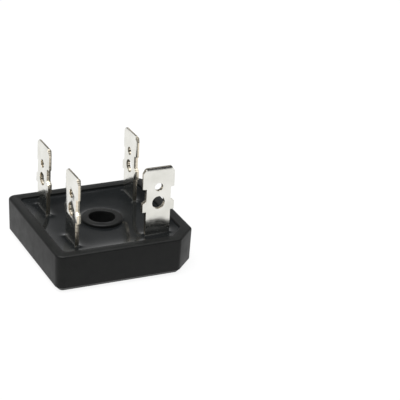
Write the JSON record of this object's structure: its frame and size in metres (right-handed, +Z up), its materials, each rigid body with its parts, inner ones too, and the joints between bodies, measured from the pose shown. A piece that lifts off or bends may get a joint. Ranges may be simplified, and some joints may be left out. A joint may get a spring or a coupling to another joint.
{
  "type": "bridge rectifier",
  "caption": "Square single-phase bridge rectifier: plastic case with a cut corner on a metal base plate, a centre screw hole and upright push-on tab terminals in potting.",
  "frame": {"origin": "centre of the base plate's underside, on the screw hole's axis", "axes": "+Z up along the terminals; +X towards the side wall that carries the polarity signs; -Y is the front wall; the cut corner and the positive terminal are at +X -Y"},
  "size_m": [0.0286, 0.0286, 0.0204],
  "materials": {
    "case_plastic": "moulded black thermoset, fine matt grain, edges slightly polished",
    "base_metal": "rolled plate, mottled matt grey",
    "potting_epoxy": "poured black epoxy, glossy, curved up at its edges",
    "tinned_terminal": "bright tinned copper alloy strip, stamped",
    "copper_lead": "bare copper sheet",
    "silicon_die": "silicon",
    "solder": "reflowed solder"
  },
  "bodies": {
    "root": {"case": "case_plastic", "base_plate": "base_metal", "potting": "potting_epoxy", "positive_terminal": "tinned_terminal", "negative_terminal": "tinned_terminal", "ac_terminal_left": "tinned_terminal", "ac_terminal_right": "tinned_terminal", "positive_lead": "copper_lead", "ac_lead_left": "copper_lead", "ac_lead_right": "copper_lead", "negative_bridge": "copper_lead", "jumper_front": "copper_lead", "jumper_right": "copper_lead", "die_front": "silicon_die", "die_right": "silicon_die", "die_left": "silicon_die", "die_back": "silicon_die", "solder_under_die_front": "solder", "solder_under_die_right": "solder", "solder_under_die_left": "solder", "solder_under_die_back": "solder", "solder_over_die_front": "solder", "solder_over_die_right": "solder", "solder_over_die_left": "solder", "solder_over_die_back": "solder", "solder_jumper_front": "solder", "solder_jumper_right": "solder", "solder_positive": "solder", "solder_negative": "solder", "solder_ac_left": "solder", "solder_ac_right": "solder"}
  },
  "joints": []
}
